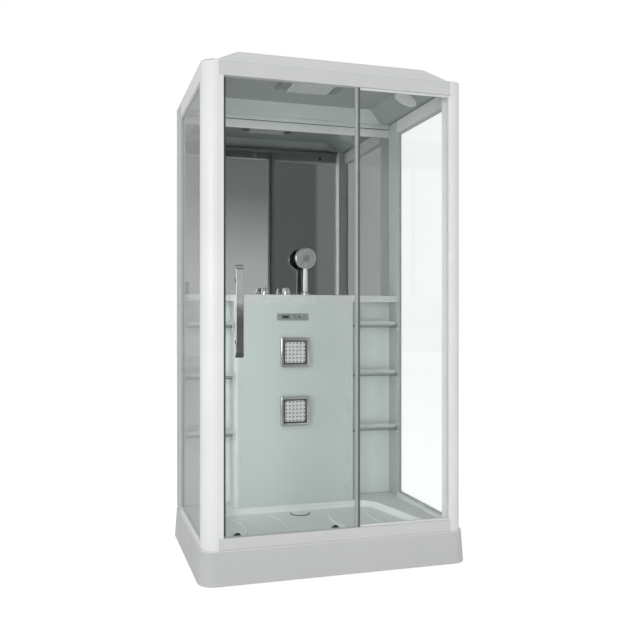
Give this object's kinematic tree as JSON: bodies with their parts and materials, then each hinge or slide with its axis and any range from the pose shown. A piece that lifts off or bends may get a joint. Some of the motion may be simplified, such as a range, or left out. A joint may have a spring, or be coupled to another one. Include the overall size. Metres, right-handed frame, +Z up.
{
  "type": "shower cabin",
  "caption": "Rectangular shower cabin: tray, glazed aluminium frame with a sliding door, mirror, console with taps, jets and control panel, glass shelves and domed roof.",
  "frame": {"origin": "on the floor under the middle of the tray's footprint", "axes": "+X to the right along the front, +Y to the back, +Z up; the door faces -Y"},
  "size_m": [1.2, 0.9, 2.2214],
  "materials": {
    "acrylic_white": "gloss",
    "roof_plastic": "gloss, darkened from inside",
    "aluminium_satin": "silver powder coat",
    "clear_glass": "clear",
    "back_glass": "clear over a pale green back coat",
    "console_glass_face": "white coated back",
    "mirror": "silvered",
    "chrome": "polished",
    "satin_metal": "satin",
    "seal": "matte",
    "roller_nylon": "matte",
    "grey_plastic": "satin",
    "white_plastic": "gloss",
    "display": "gloss",
    "galvanised": "galvanised",
    "brass_plated": "nickel-plated brass",
    "lamp": "frosted"
  },
  "bodies": {
    "cabin": {"shower_tray": "acrylic_white", "drain_trap": "grey_plastic", "tray_frame": "galvanised", "levelling_feet": "galvanised", "post_front_left": "aluminium_satin", "post_front_right": "aluminium_satin", "post_back_left": "aluminium_satin", "post_back_right": "aluminium_satin", "rail_front_bottom": "aluminium_satin", "rail_front_top": "aluminium_satin", "rails_side_top": "aluminium_satin", "rails_side_bottom": "aluminium_satin", "back_frame": "aluminium_satin", "closing_jamb": "aluminium_satin", "glass_left": "clear_glass", "glass_right": "clear_glass", "glass_front_fixed": "clear_glass", "glass_gaskets": "seal", "fixed_panel_seal": "seal", "mirror_panel": "mirror", "back_panels": "back_glass", "console_shell": "white_plastic", "console_glass": "console_glass_face", "deck_shelf": "acrylic_white", "knob_collars": "chrome", "valve_bodies": "brass_plated", "hand_shower_holder": "chrome", "jet_frames": "chrome", "control_panel": "grey_plastic", "control_display": "display", "control_box": "white_plastic", "glass_shelves": "clear_glass", "shelf_rails": "chrome", "roof_canopy": "roof_plastic", "roof_screws": "satin_metal", "rain_shower_panel": "grey_plastic", "rain_shower_plate": "chrome", "lamp_lenses": "lamp", "fan_grille": "white_plastic", "fan_housing": "grey_plastic"},
    "door": {"door_glass": "clear_glass", "door_handle": "satin_metal", "door_fittings": "chrome", "door_edge_profiles": "seal"},
    "top_left_roller": {"roller_top_left": "roller_nylon"},
    "top_right_roller": {"roller_top_right": "roller_nylon"},
    "bottom_left_roller": {"roller_bottom_left": "roller_nylon"},
    "bottom_right_roller": {"roller_bottom_right": "roller_nylon"},
    "mixer_knob": {"mixer_knob": "chrome"},
    "diverter_knob": {"diverter_knob": "chrome"},
    "hand_shower": {"hand_shower": "chrome", "spray_face": "grey_plastic"},
    "upper_jet": {"jet_plate_upper": "grey_plastic"},
    "lower_jet": {"jet_plate_lower": "grey_plastic"},
    "power_key": {"key_power": "satin_metal"},
    "light_key": {"key_light": "satin_metal"},
    "fan_key": {"key_fan": "satin_metal"},
    "drain_cover": {"drain_cover": "chrome"},
    "fan_rotor": {"fan_impeller": "grey_plastic"}
  },
  "joints": [
    {"name": "door_slide", "type": "slide", "parent": "cabin", "child": "door", "axis": [1, 0, 0], "range_m": [0, 0.4]},
    {"name": "top_left_roller_turn", "type": "hinge", "parent": "door", "child": "top_left_roller", "pos_m": [-0.441, -0.39225, 2.102], "axis": [0, 1, 0], "range_deg": [-2100, 0]},
    {"name": "top_right_roller_turn", "type": "hinge", "parent": "door", "child": "top_right_roller", "pos_m": [-0.014, -0.39225, 2.102], "axis": [0, 1, 0], "range_deg": [-2100, 0]},
    {"name": "bottom_left_roller_turn", "type": "hinge", "parent": "door", "child": "bottom_left_roller", "pos_m": [-0.441, -0.39225, 0.188], "axis": [0, 1, 0], "range_deg": [0, 2100]},
    {"name": "bottom_right_roller_turn", "type": "hinge", "parent": "door", "child": "bottom_right_roller", "pos_m": [-0.014, -0.39225, 0.188], "axis": [0, 1, 0], "range_deg": [0, 2100]},
    {"name": "mixer_turn", "type": "hinge", "parent": "cabin", "child": "mixer_knob", "pos_m": [-0.148, 0.332, 1.2173], "axis": [0, 0, 1], "range_deg": [0, 270]},
    {"name": "diverter_turn", "type": "hinge", "parent": "cabin", "child": "diverter_knob", "pos_m": [-0.036, 0.332, 1.2173], "axis": [0, 0, 1], "range_deg": [-90, 90]},
    {"name": "hand_shower_lift", "type": "slide", "parent": "cabin", "child": "hand_shower", "axis": [0, 0, 1], "range_m": [0, 0.15]},
    {"name": "upper_jet_tilt", "type": "hinge", "parent": "cabin", "child": "upper_jet", "pos_m": [-0.011, 0.2567, 0.919], "axis": [1, 0, 0], "range_deg": [-6, 6]},
    {"name": "lower_jet_tilt", "type": "hinge", "parent": "cabin", "child": "lower_jet", "pos_m": [-0.011, 0.2567, 0.621], "axis": [1, 0, 0], "range_deg": [-6, 6]},
    {"name": "power_key_press", "type": "slide", "parent": "cabin", "child": "power_key", "axis": [0, 1, 0], "range_m": [0, 0.001], "stiffness_N_per_m": 300},
    {"name": "light_key_press", "type": "slide", "parent": "cabin", "child": "light_key", "axis": [0, 1, 0], "range_m": [0, 0.001], "stiffness_N_per_m": 300},
    {"name": "fan_key_press", "type": "slide", "parent": "cabin", "child": "fan_key", "axis": [0, 1, 0], "range_m": [0, 0.001], "stiffness_N_per_m": 300},
    {"name": "drain_cover_lift", "type": "slide", "parent": "cabin", "child": "drain_cover", "axis": [0, 0, 1], "range_m": [0, 0.03]},
    {"name": "fan_spin", "type": "hinge", "parent": "cabin", "child": "fan_rotor", "pos_m": [0.476, -0.038, 2.174], "axis": [0.4338, 0, 0.901], "continuous": true}
  ],
  "couplings": [
    {"joint": "top_left_roller_turn", "follows": "door_slide", "rad_per_m": -90.909},
    {"joint": "top_right_roller_turn", "follows": "door_slide", "rad_per_m": -90.909},
    {"joint": "bottom_left_roller_turn", "follows": "door_slide", "rad_per_m": 90.909},
    {"joint": "bottom_right_roller_turn", "follows": "door_slide", "rad_per_m": 90.909}
  ]
}
